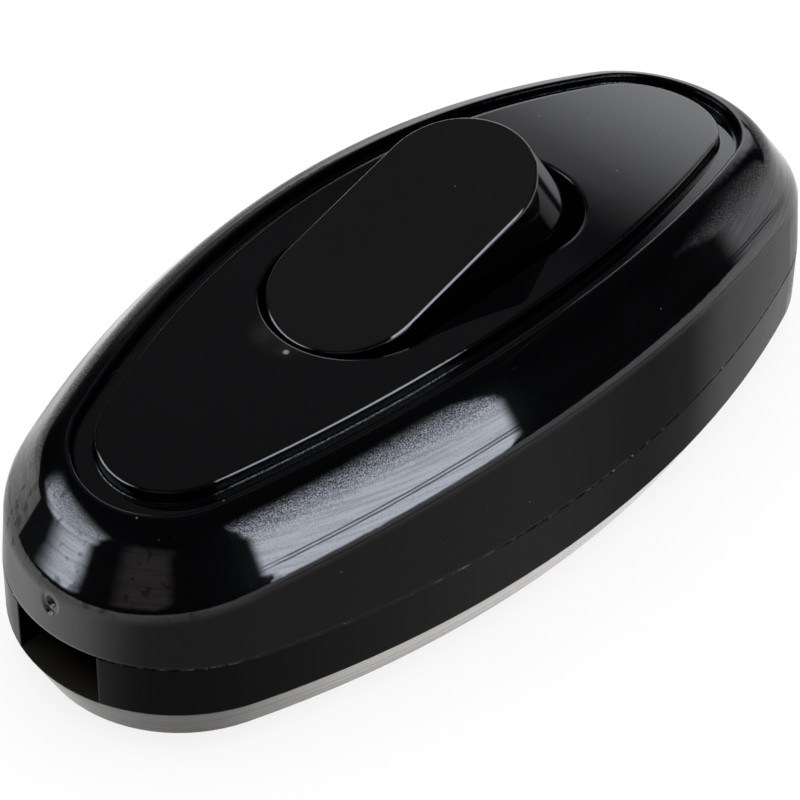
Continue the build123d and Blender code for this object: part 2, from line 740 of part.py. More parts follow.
os.makedirs("parts", exist_ok=True)
export_step(top_cover.part, "parts/top_cover.step")
export_step(base_shell.part, "parts/base_shell.step")
export_step(rocker.part, "parts/rocker.step")
export_step(plunger.part, "parts/plunger.step")
export_step(plunger_spring.part, "parts/plunger_spring.step")
export_step(contact_blade.part, "parts/contact_blade.step")
export_step(moving_contact.part, "parts/moving_contact.step")
export_step(fixed_contact.part, "parts/fixed_contact.step")
export_step(common_strip.part, "parts/common_strip.step")
export_step(fixed_strip.part, "parts/fixed_strip.step")
export_step(strip_rivets.part, "parts/strip_rivets.step")
export_step(common_terminal.part, "parts/common_terminal.step")
export_step(switched_terminal.part, "parts/switched_terminal.step")
export_step(terminal_screws.part, "parts/terminal_screws.step")
export_step(neutral_connector.part, "parts/neutral_connector.step")
export_step(neutral_screws.part, "parts/neutral_screws.step")
export_step(cord_clamp_far.part, "parts/cord_clamp_far.step")
export_step(cord_clamp_near.part, "parts/cord_clamp_near.step")
export_step(clamp_screws.part, "parts/clamp_screws.step")
export_step(housing_screws.part, "parts/housing_screws.step")
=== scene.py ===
# %% [markdown]
# # An inline cord switch on a white table
#
# The object is the switch that sits half way along a lamp's cord. It is a glossy black moulding in two
# halves, with a rocker on top, and inside it are brass strips, screw terminals and a rocking contact bar.
# All its shapes come ready-made as solid pieces, so this lesson is about finishes, light and the camera.
# Lengths are in metres, +X runs along the cord, +Z is up and the origin is under the middle of the switch.

# %% Load the solid pieces
import json
import math

import bpy
from mathutils import Matrix, Vector


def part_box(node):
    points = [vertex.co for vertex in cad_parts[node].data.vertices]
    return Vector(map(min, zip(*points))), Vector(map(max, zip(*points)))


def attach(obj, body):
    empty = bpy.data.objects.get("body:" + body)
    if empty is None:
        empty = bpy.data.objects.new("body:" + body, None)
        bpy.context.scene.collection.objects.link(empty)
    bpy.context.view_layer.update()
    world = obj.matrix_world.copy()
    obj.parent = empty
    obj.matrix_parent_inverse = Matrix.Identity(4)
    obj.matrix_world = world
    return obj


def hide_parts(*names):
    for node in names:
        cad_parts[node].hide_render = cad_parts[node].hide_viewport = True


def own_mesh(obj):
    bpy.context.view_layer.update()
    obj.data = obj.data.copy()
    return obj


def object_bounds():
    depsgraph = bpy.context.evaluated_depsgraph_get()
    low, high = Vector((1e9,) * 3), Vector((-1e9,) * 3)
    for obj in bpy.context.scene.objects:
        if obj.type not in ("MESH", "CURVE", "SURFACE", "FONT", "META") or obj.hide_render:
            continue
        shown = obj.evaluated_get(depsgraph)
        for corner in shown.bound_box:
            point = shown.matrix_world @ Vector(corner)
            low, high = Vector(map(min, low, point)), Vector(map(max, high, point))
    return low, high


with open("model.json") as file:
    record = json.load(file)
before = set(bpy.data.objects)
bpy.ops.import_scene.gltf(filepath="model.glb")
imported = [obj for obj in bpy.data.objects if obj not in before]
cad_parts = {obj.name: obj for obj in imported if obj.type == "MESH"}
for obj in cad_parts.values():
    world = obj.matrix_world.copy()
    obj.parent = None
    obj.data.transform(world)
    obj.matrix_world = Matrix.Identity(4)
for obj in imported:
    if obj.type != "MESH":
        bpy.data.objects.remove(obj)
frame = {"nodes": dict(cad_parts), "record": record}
cad_low, cad_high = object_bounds()
nodes = frame["nodes"]
scene = bpy.context.scene
MM = 0.001
size_mm = [round((high - low) / MM, 1) for low, high in zip(cad_low, cad_high)]
print("pieces:", len(nodes), "size in mm:", size_mm)

# %% [markdown]
# ## The camera
#
# The photograph looks down at the near end of the switch from over its left corner, with a long lens.
# A camera could be aimed with a Track To constraint, but that keeps it level, and this one leans a little.
# So its three axes are worked out one by one: forward to the target, then right and up, turned by the roll.

# %% Camera
camera_place = Vector((-137.38, -123.55, 165.13)) * MM
camera_target = Vector((-1.772, 0.342, 6.395)) * MM
camera_roll = math.radians(1.073)
camera_lens = 157.04
sensor_width = 36.0
forward = (camera_target - camera_place).normalized()
level_right = forward.cross(Vector((0, 0, 1))).normalized()
level_up = level_right.cross(forward)
right = level_right * math.cos(camera_roll) + level_up * math.sin(camera_roll)
up = level_up * math.cos(camera_roll) - level_right * math.sin(camera_roll)
camera_data = bpy.data.cameras.new("photo_camera")
camera_data.sensor_width = sensor_width
camera_data.lens = camera_lens
camera_data.clip_start = 0.01
camera = bpy.data.objects.new("photo_camera", camera_data)
camera_axes = Matrix((right, up, -forward)).transposed().to_4x4()
camera.matrix_world = Matrix.Translation(camera_place) @ camera_axes
scene.collection.objects.link(camera)
scene.camera = camera
print("camera distance in mm:", round((camera_target - camera_place).length / MM))

# %% [markdown]
# ## Small helpers for shader nodes
#
# A material in Blender is a tree of nodes joined by links. Adding nodes one call at a time makes long code,
# so three helpers do it here: one adds a node and fills its inputs with numbers or with other nodes' outputs,
# one does a sum, and one squeezes a value from one range into another with soft ends.

# %% Node helpers
def add_node(tree, kind, fill=None, **settings):
    """Add a node, set its options, and fill inputs with numbers or with outputs of other nodes."""
    made = tree.nodes.new(kind)
    for name, value in settings.items():
        setattr(made, name, value)
    for name, value in (fill or {}).items():
        if isinstance(value, bpy.types.NodeSocket):
            tree.links.new(value, made.inputs[name])
        else:
            made.inputs[name].default_value = value
    return made


def calc(tree, operation, first, second=0.0, third=0.0):
    """One sum on numbers or sockets."""
    return add_node(tree, "ShaderNodeMath", {0: first, 1: second, 2: third}, operation=operation).outputs[0]


def remap(tree, value, low, high, to_low=0.0, to_high=1.0):
    """Carry a value from low..high to to_low..to_high, with soft ends."""
    fill = {"Value": value, "From Min": low, "From Max": high, "To Min": to_low, "To Max": to_high}
    return add_node(tree, "ShaderNodeMapRange", fill, interpolation_type="SMOOTHSTEP").outputs["Result"]


def new_group(name, inputs, outputs):
    """An empty node group with named number sockets; gives the tree and its two ends."""
    tree = bpy.data.node_groups.new(name, "ShaderNodeTree")
    for socket, start in inputs.items():
        tree.interface.new_socket(socket, in_out="INPUT", socket_type="NodeSocketFloat").default_value = start
    for socket in outputs:
        tree.interface.new_socket(socket, in_out="OUTPUT", socket_type="NodeSocketFloat")
    return tree, tree.nodes.new("NodeGroupInput").outputs, tree.nodes.new("NodeGroupOutput").inputs


def use_group(tree, group, **fill):
    """Place a group in a material with its own values."""
    made = add_node(tree, "ShaderNodeGroup", node_tree=group)
    for name, value in fill.items():
        socket = made.inputs[name.replace("_", " ").capitalize()]
        if isinstance(value, bpy.types.NodeSocket):
            tree.links.new(value, socket)
        else:
            socket.default_value = value
    return made.outputs[0]


print("helpers ready")

# %% [markdown]
# ## Haze
#
# No moulding is evenly shiny: handling and the mould's own polish leave cloudy patches. One noise texture,
# in the object's own coordinates so that it stays put when the piece moves, is turned into a roughness.
# It is a node group, because every finish in the switch uses it with its own scale and limits.

# %% Haze group
haze, given, result = new_group("haze", {"Scale": 200.0, "Low": 0.1, "High": 0.3}, ["Roughness"])
place = add_node(haze, "ShaderNodeTexCoord").outputs["Object"]
cloud = add_node(haze, "ShaderNodeTexNoise", {"Vector": place, "Scale": given["Scale"], "Detail": 5.0})
patches = remap(haze, cloud.outputs[0], 0.35, 0.68)
span = calc(haze, "SUBTRACT", given["High"], given["Low"])
haze.links.new(calc(haze, "MULTIPLY_ADD", patches, span, given["Low"]), result["Roughness"])
print("group:", haze.name)

# %% [markdown]
# ## Hairline scratches
#
# Fine scratches are thin, long and nearly straight, and they lie in a few directions. Drawing each one as a
# curve would take hundreds of curves. A noise stretched along one direction has long level lines, and the
# places where it passes through its middle value make thin lines for nothing. A second noise breaks them up.

# %% Scratch group
def hairlines(tree, place, turn, given):
    """Thin broken lines along one direction, as a mask."""
    slim = 0.012
    fill = {"Vector": place, "Rotation": (0.0, 0.0, math.radians(turn)), "Scale": (slim, 1.0, 1.0)}
    along = add_node(tree, "ShaderNodeMapping", fill).outputs["Vector"]
    wave = add_node(tree, "ShaderNodeTexNoise", {"Vector": along, "Scale": given["Scale"], "Detail": 2.0})
    off = calc(tree, "ABSOLUTE", calc(tree, "SUBTRACT", wave.outputs[0], 0.5))
    line = calc(tree, "SUBTRACT", 1.0, remap(tree, off, 0.0, given["Width"]))
    patch_scale = calc(tree, "MULTIPLY", given["Scale"], 0.12)
    patch = add_node(tree, "ShaderNodeTexNoise", {"Vector": place, "Scale": patch_scale, "Detail": 1.0})
    kept = remap(tree, patch.outputs[0], calc(tree, "SUBTRACT", 1.0, given["Share"]), 0.75)
    return calc(tree, "MULTIPLY", line, kept)


scratches, given, result = new_group("scratches", {"Scale": 900.0, "Width": 0.006, "Share": 0.5}, ["Mask"])
place = add_node(scratches, "ShaderNodeTexCoord").outputs["Object"]
scratch_turns = (12, 74)
first, second = (hairlines(scratches, place, turn, given) for turn in scratch_turns)
scratches.links.new(calc(scratches, "MAXIMUM", first, second), result["Mask"])
print("group:", scratches.name)

# %% [markdown]
# ## Dust
#
# Glossy black shows every speck. A Voronoi texture scatters points in space, and the surface shows a round
# speck where it passes near one. Each cell has a random colour, which here decides whether it has a speck.

# %% Dust group
dust, given, result = new_group("dust", {"Scale": 900.0, "Size": 0.1, "Share": 0.1}, ["Mask"])
place = add_node(dust, "ShaderNodeTexCoord").outputs["Object"]
cells = add_node(dust, "ShaderNodeTexVoronoi", {"Vector": place, "Scale": given["Scale"]})
draw = add_node(dust, "ShaderNodeSeparateColor", {"Color": cells.outputs["Color"]}).outputs["Red"]
chosen = calc(dust, "LESS_THAN", draw, given["Share"])
core = calc(dust, "MULTIPLY", given["Size"], 0.4)
speck = calc(dust, "SUBTRACT", 1.0, remap(dust, cells.outputs["Distance"], core, given["Size"]))
dust.links.new(calc(dust, "MULTIPLY", speck, chosen), result["Mask"])
print("group:", dust.name)

# %% [markdown]
# ## Flow streaks
#
# Hot plastic runs round the mould from its gate, and drawn or rolled metal keeps lines along its length.
# Both are a noise stretched along the flow. Round the oval housing the flow follows the angle about the
# middle, so the group makes its own coordinates: arc length along, and height less radius across.

# %% Streak group
streaks, given, result = new_group("streaks", {"Along": 60.0, "Across": 3000.0}, ["Value"])
place = add_node(streaks, "ShaderNodeTexCoord").outputs["Object"]
part = add_node(streaks, "ShaderNodeSeparateXYZ", {"Vector": place}).outputs
mean_radius = 0.025
oval = 2.2
aside = calc(streaks, "MULTIPLY", calc(streaks, "ABSOLUTE", part["Y"]), oval)
turn = calc(streaks, "ARCTAN2", aside, part["X"])
radius = calc(streaks, "SQRT", calc(streaks, "ADD", calc(streaks, "POWER", part["X"], 2.0),
                                    calc(streaks, "POWER", aside, 2.0)))
along = calc(streaks, "MULTIPLY", calc(streaks, "MULTIPLY", turn, mean_radius), given["Along"])
across = calc(streaks, "MULTIPLY", calc(streaks, "MULTIPLY_ADD", radius, -0.3, part["Z"]), given["Across"])
lane = add_node(streaks, "ShaderNodeCombineXYZ", {"X": along, "Y": across}).outputs["Vector"]
fibre = add_node(streaks, "ShaderNodeTexNoise", {"Vector": lane, "Scale": 1.0, "Detail": 3.0})
streaks.links.new(fibre.outputs[0], result["Value"])
print("group:", streaks.name)

# %% [markdown]
# ## Rubbed and highlighted edges
#
# Corners touch the world first, so they lose their polish. Blender's Bevel node gives the normal that the
# surface would have if its edges were rounded. Where that differs from the true normal there is an edge.
# The mask marks worn edges, and on the cover's top it paints a highlight along the edges.

# %% Edge group
edge_wear_and_highlight, given, result = new_group("edge_wear_and_highlight", {"Reach": 0.0002, "Patchiness": 400.0}, ["Mask"])
rounded = add_node(edge_wear_and_highlight, "ShaderNodeBevel", {"Radius": given["Reach"]}, samples=4).outputs["Normal"]
true_normal = add_node(edge_wear_and_highlight, "ShaderNodeNewGeometry").outputs["Normal"]
same = add_node(edge_wear_and_highlight, "ShaderNodeVectorMath", {0: rounded, 1: true_normal}, operation="DOT_PRODUCT")
edge = remap(edge_wear_and_highlight, same.outputs["Value"], 0.995, 0.9)
place = add_node(edge_wear_and_highlight, "ShaderNodeTexCoord").outputs["Object"]
rub_fill = {"Vector": place, "Scale": given["Patchiness"], "Detail": 3.0}
rub = add_node(edge_wear_and_highlight, "ShaderNodeTexNoise", rub_fill)
worn = calc(edge_wear_and_highlight, "MULTIPLY", edge, remap(edge_wear_and_highlight, rub.outputs[0], 0.35, 0.65))
edge_wear_and_highlight.links.new(worn, result["Mask"])
print("group:", edge_wear_and_highlight.name)

# %% [markdown]
# ## Starting a finish
#
# Each finish starts from the Principled BSDF. A number that is the same all over goes straight on its socket.
# What changes over the surface comes from the groups: a colour mix, a roughness and a bump.

# %% Finish helpers
def new_finish(name, **sockets):
    """A material with one Principled BSDF, its plain values set on the sockets."""
    material = bpy.data.materials.new(name)
    material.use_nodes = True
    tree = material.node_tree
    shader = tree.nodes["Principled BSDF"]
    for socket, value in sockets.items():
        shader.inputs[socket.replace("_", " ")].default_value = value
    return material, tree, shader


def tint(tree, mask, first, second):
    """Mix two colours by a mask."""
    made = add_node(tree, "ShaderNodeMix", {"Factor": mask}, data_type="RGBA")
    for index, colour in ((6, first), (7, second)):
        if isinstance(colour, bpy.types.NodeSocket):
            tree.links.new(colour, made.inputs[index])
        else:
            made.inputs[index].default_value = (*colour, 1.0)
    return made.outputs[2]


def bump(tree, shader, height, strength, distance):
    """Let a height map tilt the shading of a surface."""
    fill = {"Height": height, "Strength": strength, "Distance": distance}
    tree.links.new(add_node(tree, "ShaderNodeBump", fill).outputs["Normal"], shader.inputs["Normal"])


def place_of(tree):
    """The X, Y and Z of a point in the piece's own coordinates."""
    place = add_node(tree, "ShaderNodeTexCoord").outputs["Object"]
    return add_node(tree, "ShaderNodeSeparateXYZ", {"Vector": place}).outputs


def facing_up(tree):
    """How far a surface faces up, from -1 to 1, in the piece's own coordinates."""
    normal = add_node(tree, "ShaderNodeTexCoord").outputs["Normal"]
    return add_node(tree, "ShaderNodeSeparateXYZ", {"Vector": normal}).outputs["Z"]


print("finish helpers ready")

# %% [markdown]
# ## Black moulding
#
# The cover, base and rocker are the same black plastic, with almost no colour of its own: what the eye sees
# is the reflection in it. A dark base colour carries dust, scratches and some painted light, and a clear coat
# on top stands for the polish of the mould. The coat can be weaker where the mould was less polished, such as
# on the walls.
# No mould has knife edges, so the coat's normal comes from a Bevel node, which shades edges as if rounded.
# Each piece hands in three small functions of place: its coat, its pale marks and its relief.

# %% Black moulding
black_colour = (0.0008, 0.0009, 0.0012)
# The pale of the marks: dust, scratches, scuffs and wear, and also painted highlights on the cover's top
# edges, a painted reflection of the table on the foot and painted light on the base's upward floors.
mark_colour = (0.56, 0.53, 0.455)
mould_rounding = 0.3 * MM
relief_depth = 0.007 * MM
speck_strength = 0.2
mark_roughness = 0.5


def black_moulding(name, coat, marks, relief, dust_share):
    """Polished black plastic; coat, marks and relief are functions of the tree and the place."""
    material, tree, shader = new_finish(name, IOR=1.06, Coat_Roughness=0.035, Coat_IOR=1.6)
    place = place_of(tree)
    specks = use_group(tree, dust, scale=800.0, size=0.08, share=dust_share)
    cloudy = use_group(tree, haze, scale=160.0, low=0.16, high=0.34)
    pale = calc(tree, "MAXIMUM", calc(tree, "MULTIPLY", specks, speck_strength), marks(tree, place))
    tree.links.new(tint(tree, pale, black_colour, mark_colour), shader.inputs["Base Color"])
    tree.links.new(calc(tree, "MULTIPLY_ADD", pale, mark_roughness, cloudy), shader.inputs["Roughness"])
    tree.links.new(coat(tree, place), shader.inputs["Coat Weight"])
    bump(tree, shader, relief(tree, place), 1.0, relief_depth)
    softened = add_node(tree, "ShaderNodeBevel", {"Radius": mould_rounding}, samples=8).outputs["Normal"]
    tree.links.new(softened, shader.inputs["Coat Normal"])
    return material


print("base colour:", black_colour)

# %% [markdown]
# ## The cover in heights
#
# The cover is an arched oval moulding: a wall, a crease, a sloping shoulder, a rim and a raised plate. Its
# finish changes from one to the next. Each could be painted on an unwrapped picture, but a height over the
# crease tells them apart just as well and needs no picture. The crease follows the arch, so the fall of the
# arch along X is added back first.

# %% Cover heights
cover_low, cover_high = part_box("top_cover")
part_line = cover_low.z
shoulder_drop = 4.15 * MM
crease_height = cover_high.z - shoulder_drop
arch_radius = 156.0 * MM


def band(tree, value, middle, half):
    """A soft stripe where a value lies near the middle."""
    off = calc(tree, "ABSOLUTE", calc(tree, "SUBTRACT", value, middle))
    return calc(tree, "SUBTRACT", 1.0, remap(tree, off, 0.4 * half, half))


def above_crease(tree, place):
    """Height over the crease, with the arch of the cover taken out."""
    fall = calc(tree, "DIVIDE", calc(tree, "POWER", place["X"], 2.0), 2 * arch_radius)
    return calc(tree, "SUBTRACT", calc(tree, "ADD", place["Z"], fall), crease_height)


print("crease height in mm:", round(crease_height / MM, 2))

# %% [markdown]
# ## The cover's walls and witness lines
#
# The top was polished in the mould and the walls were not. So the walls are dull along the sides, and bright
# only round the ends. Three fine lines run along the shoulder near the crease, where parts of the mould met.
# They could be cut as grooves, but they are finer than any groove worth meshing, so they dull the coat.

# %% Cover walls
witness_lines = (-0.3 * MM, 0.74 * MM, 0.9 * MM)
witness_width = 0.06 * MM
witness_loss = 0.75


def wall_polish(tree, place):
    """Polish of the walls: bright round the ends, dull along the sides, dullest just past the middle."""
    near_half = remap(tree, place["X"], -8.0 * MM, 8.0 * MM, 0.17, 0.03)
    dull = calc(tree, "MAXIMUM", near_half, remap(tree, place["X"], 9.0 * MM, 17.0 * MM, 0.0, 0.24))
    return remap(tree, calc(tree, "ABSOLUTE", place["Y"]), 1.0 * MM, 7.0 * MM, 1.0, dull)


def witness(tree, place):
    """Fine lines along the shoulder, one under the crease's roll and two above it."""
    height = above_crease(tree, place)
    lines = 0.0
    for line in witness_lines:
        lines = calc(tree, "MAXIMUM", lines, band(tree, height, line, witness_width))
    broken = remap(tree, use_group(tree, streaks, along=260.0, across=300.0), 0.3, 0.44)
    on_side = remap(tree, calc(tree, "ABSOLUTE", place["X"]), 24.0 * MM, 28.0 * MM, 1.0, 0.0)
    return calc(tree, "MULTIPLY", calc(tree, "MULTIPLY", lines, broken), on_side)


print("witness lines:", len(witness_lines))

# %% [markdown]
# ## The shoulder's skin
#
# The shoulder has a fibrous skin from the flow of the plastic, which mottles whatever it reflects. It is
# streaked near the crease and frays out into fibres higher up. A bump would bend the reflections, but here
# they only come and go, so the skin sets how much of the coat is left.

# %% Shoulder and coat
rim_rise = (2.0 * MM, 2.4 * MM)
plate_rise = (4.0 * MM, 4.1 * MM)
top_polish = 0.97


def shoulder_skin(tree, height, place):
    """How much polish the shoulder keeps: streaked below, frayed above, smudged at the near end."""
    near_end = remap(tree, place["X"], -31.0 * MM, -29.0 * MM, 1.0, 0.0)
    felt = use_group(tree, haze, scale=11000.0, low=-1.0, high=1.0)
    flow = use_group(tree, streaks, along=190.0, across=4600.0)
    streaked = remap(tree, calc(tree, "MULTIPLY_ADD", felt, 0.1, flow), 0.3, 0.62, 0.72, 1.0)
    lowered = calc(tree, "MULTIPLY_ADD", near_end, -0.7 * MM, height)
    faded = remap(tree, lowered, 1.6 * MM, 3.9 * MM, 1.0, 0.1)
    half_faded = calc(tree, "MULTIPLY", faded, calc(tree, "SUBTRACT", 1.0, faded))
    ragged = calc(tree, "MULTIPLY", calc(tree, "MULTIPLY_ADD", near_end, -0.7, 1.4), half_faded)
    frayed = calc(tree, "MAXIMUM", calc(tree, "MULTIPLY_ADD", felt, ragged, faded), 0.05)
    smudge = remap(tree, use_group(tree, haze, scale=1100.0, low=0.0, high=1.0), 0.7, 1.0, 0.0, 0.5)
    clean = calc(tree, "SUBTRACT", 1.0, calc(tree, "MULTIPLY", smudge, near_end))
    return calc(tree, "MULTIPLY", calc(tree, "MULTIPLY", streaked, frayed), clean)


def cover_coat(tree, place):
    """Polish above the crease, uneven on the shoulder, and the wall's polish below it."""
    height = above_crease(tree, place)
    rise = remap(tree, height, -0.9 * MM, 0.3 * MM)
    wall = calc(tree, "MULTIPLY", wall_polish(tree, place), calc(tree, "SUBTRACT", 1.0, rise))
    flat = remap(tree, facing_up(tree), 0.82, 0.95)
    level = calc(tree, "MULTIPLY", flat, remap(tree, height, *rim_rise))
    plate = remap(tree, height, *plate_rise)
    top = calc(tree, "MULTIPLY", calc(tree, "MAXIMUM", level, plate), top_polish)
    skin = calc(tree, "MAXIMUM", shoulder_skin(tree, height, place), top)
    lines = calc(tree, "MULTIPLY_ADD", witness(tree, place), -witness_loss, 1.0)
    return calc(tree, "MULTIPLY_ADD", calc(tree, "MULTIPLY", rise, lines), skin, wall)


print("polish on top:", top_polish)

# %% [markdown]
# ## The cover's marks
#
# A little plastic squeezes out where the cover meets the base, and leaves a thin broken line with crumbs on
# it. The top has a few hairlines, a painted highlight along its edges, and a chip and a smear beside the
# rocker's opening. They are all pale marks in the base colour, under the coat, and the strongest one wins
# wherever two meet.

# %% Cover marks
chip_place = (-13.9 * MM, -0.6 * MM)
smear_place = (-12.6 * MM, 0.6 * MM)
hair_strength = 0.02
cover_dust = 0.1


def seam_crumbs(tree, place):
    """A thin broken line of flash along the parting line, in some stretches only, with crumbs on it."""
    edge = band(tree, place["Z"], part_line, 0.09 * MM)
    line = remap(tree, use_group(tree, streaks, along=1700.0, across=900.0), 0.42, 0.66, 0.02, 0.4)
    stretches = use_group(tree, haze, scale=130.0, low=0.1, high=1.0)
    crumbs = use_group(tree, dust, scale=3400.0, size=0.5, share=0.05)
    flash = calc(tree, "MULTIPLY", line, stretches)
    return calc(tree, "MULTIPLY", edge, calc(tree, "MAXIMUM", flash, crumbs))


def from_point(tree, place, x, y):
    """Distance from an upright line through a point."""
    square_x = calc(tree, "POWER", calc(tree, "SUBTRACT", place["X"], x), 2.0)
    square_y = calc(tree, "POWER", calc(tree, "SUBTRACT", place["Y"], y), 2.0)
    return calc(tree, "SQRT", calc(tree, "ADD", square_x, square_y))


def opening_wear(tree, place):
    """A small chip beside the rocker's opening, and a pale smear where fingers press the low end."""
    chip = remap(tree, from_point(tree, place, *chip_place), 0.1 * MM, 0.28 * MM, 0.4, 0.0)
    smear = remap(tree, from_point(tree, place, *smear_place), 0.6 * MM, 3.0 * MM, 0.03, 0.0)
    uneven = use_group(tree, haze, scale=500.0, low=0.3, high=1.0)
    flat = remap(tree, facing_up(tree), 0.8, 0.95)
    return calc(tree, "MULTIPLY", flat, calc(tree, "MAXIMUM", chip, calc(tree, "MULTIPLY", smear, uneven)))


def cover_marks(tree, place):
    """Crumbs at the seam, a few hairline scratches, a painted highlight on the top's edges and wear at the
    opening.
    """
    hairs = use_group(tree, scratches, scale=900.0, width=0.004, share=0.42)
    hairs = calc(tree, "MULTIPLY", hairs, hair_strength)
    # Painted highlight: the edge mask lightens the top's edges as if they caught the light.
    on_top = remap(tree, above_crease(tree, place), 3.0 * MM, 3.4 * MM, 0.0, 0.3)
    edges = calc(tree, "MULTIPLY", use_group(tree, edge_wear_and_highlight, reach=0.00012, patchiness=120.0), on_top)
    top_highlight_and_wear = calc(tree, "MAXIMUM", edges, opening_wear(tree, place))
    return calc(tree, "MAXIMUM", calc(tree, "MAXIMUM", hairs, top_highlight_and_wear), seam_crumbs(tree, place))


def draw_lines(tree, place):
    """Fine upright lines where the moulding was drawn out of the mould."""
    return use_group(tree, streaks, along=3200.0, across=70.0)


cover_plastic = black_moulding("cover_plastic", cover_coat, cover_marks, draw_lines, cover_dust)
print("finish:", cover_plastic.name)

# %% [markdown]
# ## The rocker
#
# Fingers keep the rocker clean, so it has little dust, but they leave a faint haze on its face and rub its
# edges. It is the same black moulding with three functions of its own. A facing test keeps the haze to the
# face, because the sides stay as they left the mould.

# %% Rocker
rocker_dust = 0.06
face_grey = 0.0085
edge_rub = 0.04


def rocker_coat(tree, place):
    """A polish that only varies a little."""
    return use_group(tree, haze, scale=90.0, low=0.86, high=1.0)


def rocker_rub(tree, place):
    """A faint grey on the face, from fingers, and paler rubbed edges."""
    edges = calc(tree, "MULTIPLY", use_group(tree, edge_wear_and_highlight, reach=0.0003, patchiness=300.0), edge_rub)
    face = remap(tree, facing_up(tree), 0.75, 0.92, 0.0, face_grey)
    touched = use_group(tree, haze, scale=120.0, low=0.85, high=1.0)
    return calc(tree, "MAXIMUM", edges, calc(tree, "MULTIPLY", face, touched))


def rocker_skin(tree, place):
    """Very fine unevenness."""
    return calc(tree, "MULTIPLY", use_group(tree, haze, scale=2500.0, low=0.0, high=1.0), 0.12)


rocker_plastic = black_moulding("rocker_plastic", rocker_coat, rocker_rub, rocker_skin, rocker_dust)
print("finish:", rocker_plastic.name)

# %% [markdown]
# ## The base and its foot
#
# The base is the same plastic, but its bevelled foot slides about on tables, so it is scuffed pale along its
# length, and the same pale paints a reflection of the white table on the bevel. The streaks are the flow
# streaks again, kept to the bevel by its height and stronger along the side. A faint painted light lightens
# the floors that face up, such as the slot's.

# %% Base
foot_height = 0.45 * part_line
base_dust = 0.06


def along_side(tree, place, end, side):
    """A value that goes from one at the near end to another along the side."""
    return remap(tree, place["X"], -31.0 * MM, -17.0 * MM, end, side)


def foot_lines(tree):
    """Darker lines along the foot."""
    return remap(tree, use_group(tree, streaks, along=45.0, across=5200.0), 0.36, 0.5, 0.8, 1.0)


def base_coat(tree, place):
    """The wall's polish above a glossy foot."""
    foot = remap(tree, place["Z"], foot_height - 0.1 * MM, foot_height + 0.1 * MM, 1.0, 0.0)
    foot = calc(tree, "MULTIPLY", foot, along_side(tree, place, 0.46, 1.0))
    foot = calc(tree, "MULTIPLY", foot, foot_lines(tree))
    outside = remap(tree, facing_up(tree), 0.3, 0.8, 1.0, 0.1)
    dull_front = remap(tree, place["X"], -34.0 * MM, -8.0 * MM, 0.3, 1.0)
    wall = calc(tree, "MULTIPLY", wall_polish(tree, place), dull_front)
    return calc(tree, "MULTIPLY", outside, calc(tree, "MAXIMUM", foot, wall))


def foot_scuffs_and_painted_light(tree, place):
    """Scuffs and a painted table reflection on the foot, painted light on floors facing up, and seam crumbs.
    """
    bevel = remap(tree, facing_up(tree), 0.1, 0.4, 1.0, 0.0)
    on_foot = calc(tree, "MULTIPLY", calc(tree, "LESS_THAN", place["Z"], foot_height), bevel)
    # Partly scuffs and partly a painted reflection of the white table, pale along the bevel.
    scuffs_and_sheen = remap(tree, use_group(tree, streaks, along=70.0, across=4200.0), 0.36, 0.64, 0.5, 1.0)
    scuffs_and_sheen = calc(tree, "MULTIPLY", scuffs_and_sheen, along_side(tree, place, 0.15, 1.0))
    scuffs_and_sheen = calc(tree, "MULTIPLY", scuffs_and_sheen, foot_lines(tree))
    # Painted light: surfaces that face up, such as the slot's floor, are made a little pale.
    painted_floor_light = remap(tree, facing_up(tree), 0.8, 0.95, 0.0, 0.03)
    floor_light_and_crumbs = calc(tree, "MAXIMUM", painted_floor_light, seam_crumbs(tree, place))
    return calc(tree, "MAXIMUM", calc(tree, "MULTIPLY", scuffs_and_sheen, on_foot), floor_light_and_crumbs)


base_plastic = black_moulding("base_plastic", base_coat, foot_scuffs_and_painted_light, draw_lines, base_dust)
print("finish:", base_plastic.name)

# %% [markdown]
# ## Satin clamp and nylon plunger
#
# The cord clamps are the same black without the polish, with a fine spark-eroded texture from the mould.
# The plunger is natural nylon: milky, slightly yellow, and waxy rather than shiny.

# %% Satin plastics
satin_dark = (0.016, 0.016, 0.017)
satin_worn = (0.06, 0.06, 0.062)
nylon_cream = (0.7, 0.67, 0.58)
nylon_white = (0.8, 0.78, 0.7)
grime_colour = (0.3, 0.27, 0.2)


def satin_black():
    """Fine-textured black plastic."""
    material, tree, shader = new_finish("clamp_plastic", IOR=1.5)
    grain = use_group(tree, haze, scale=2600.0, low=0.0, high=1.0)
    worn = use_group(tree, edge_wear_and_highlight, reach=0.00025, patchiness=700.0)
    tree.links.new(tint(tree, worn, satin_dark, satin_worn), shader.inputs["Base Color"])
    tree.links.new(calc(tree, "MULTIPLY_ADD", grain, 0.2, 0.4), shader.inputs["Roughness"])
    bump(tree, shader, grain, 0.25, 0.00004)
    return material


def nylon():
    """Milky natural nylon."""
    material, tree, shader = new_finish("plunger_plastic", IOR=1.53, Subsurface_Weight=0.3)
    shader.inputs["Subsurface Radius"].default_value = (0.001, 0.0009, 0.0007)
    mottle = use_group(tree, haze, scale=700.0, low=0.0, high=1.0)
    specks = use_group(tree, dust, scale=1500.0, size=0.16, share=0.1)
    milk = tint(tree, mottle, nylon_cream, nylon_white)
    grime = calc(tree, "MULTIPLY", specks, 0.5)
    tree.links.new(tint(tree, grime, milk, grime_colour), shader.inputs["Base Color"])
    tree.links.new(calc(tree, "MULTIPLY_ADD", mottle, 0.12, 0.34), shader.inputs["Roughness"])
    bump(tree, shader, mottle, 0.1, 0.00005)
    return material


clamp_plastic = satin_black()
plunger_plastic = nylon()
print("finishes:", clamp_plastic.name, plunger_plastic.name)

# %% [markdown]
# ## Metals
#
# The metals differ in colour, in how they were made and in how they age. One function mixes a clean colour
# with a tarnished one by a cloud, lightens rubbed edges, and adds fine lines along the stock. Stamped brass
# is rolled, bar brass is drawn, screws are zinc plated, the spring is bright wire, the contacts are silver.

